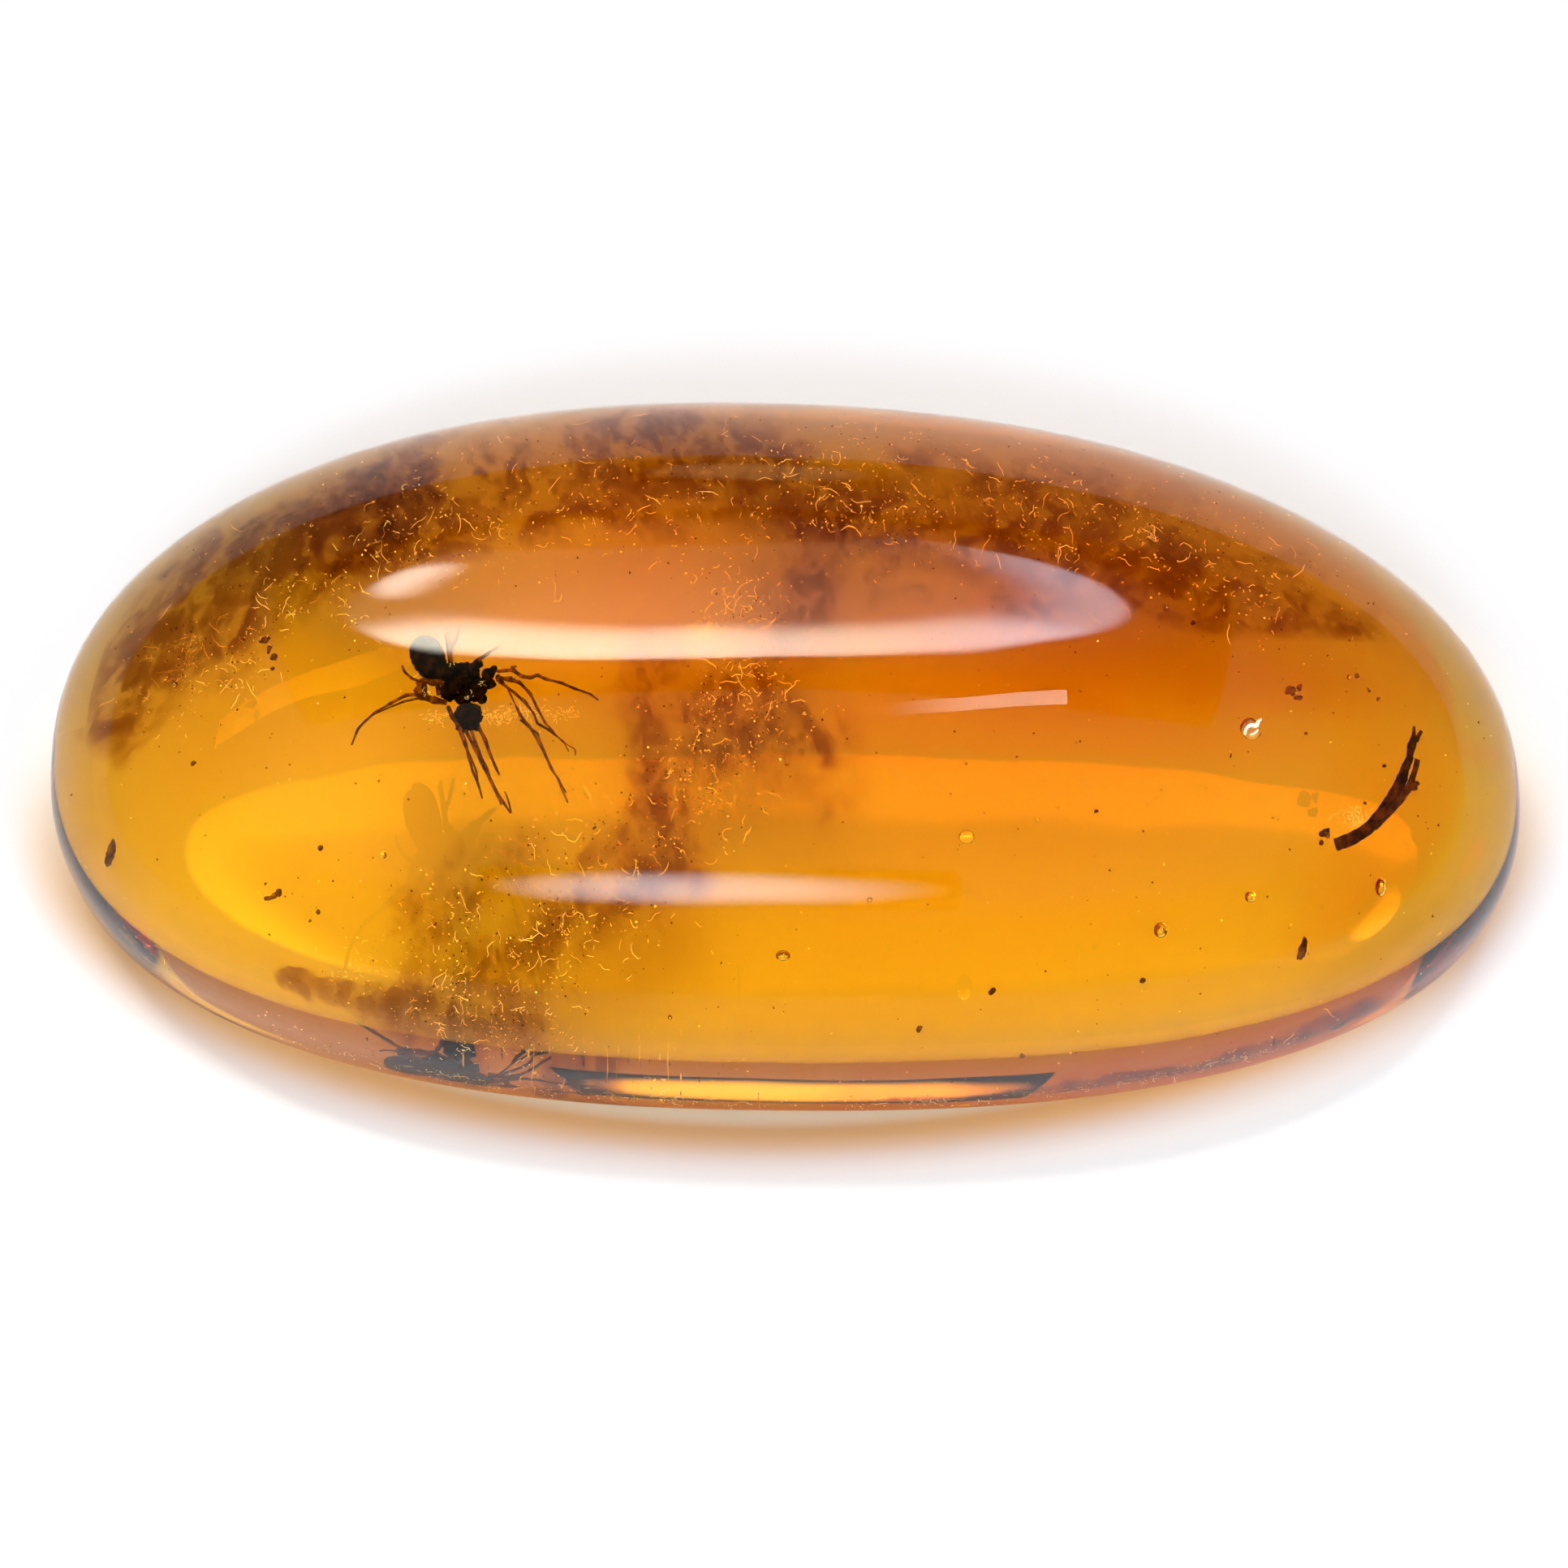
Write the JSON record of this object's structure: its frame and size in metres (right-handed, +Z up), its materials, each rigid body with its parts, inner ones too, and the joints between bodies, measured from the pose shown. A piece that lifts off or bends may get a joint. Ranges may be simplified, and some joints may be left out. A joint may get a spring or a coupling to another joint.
{
  "type": "insect in amber",
  "caption": "Polished oval amber pebble, a clear orange resin dome on a shallow, nearly flat belly, holding a long-legged insect, a twig, bubbles and plant crumbs.",
  "frame": {"origin": "middle of the bounding box's underside, in the plane of the flat that the pebble rests on", "axes": "+X along the pebble towards its narrower end, +Y to the back, +Z up through the dome"},
  "size_m": [0.04, 0.0198, 0.0097],
  "materials": {
    "amber": "polished clear resin, deep orange, absorbs blue light within a millimetre or two",
    "insect": "dark brown chitin with a slight shine",
    "plant": "dull brown charred-looking wood fibre",
    "veil": "cloudy brown film of fine dust and tiny bubbles inside the resin",
    "spangle": "bright golden flecks, which are tiny cracks in the resin"
  },
  "bodies": {
    "root": {"amber_pebble": "amber"}
  },
  "joints": []
}
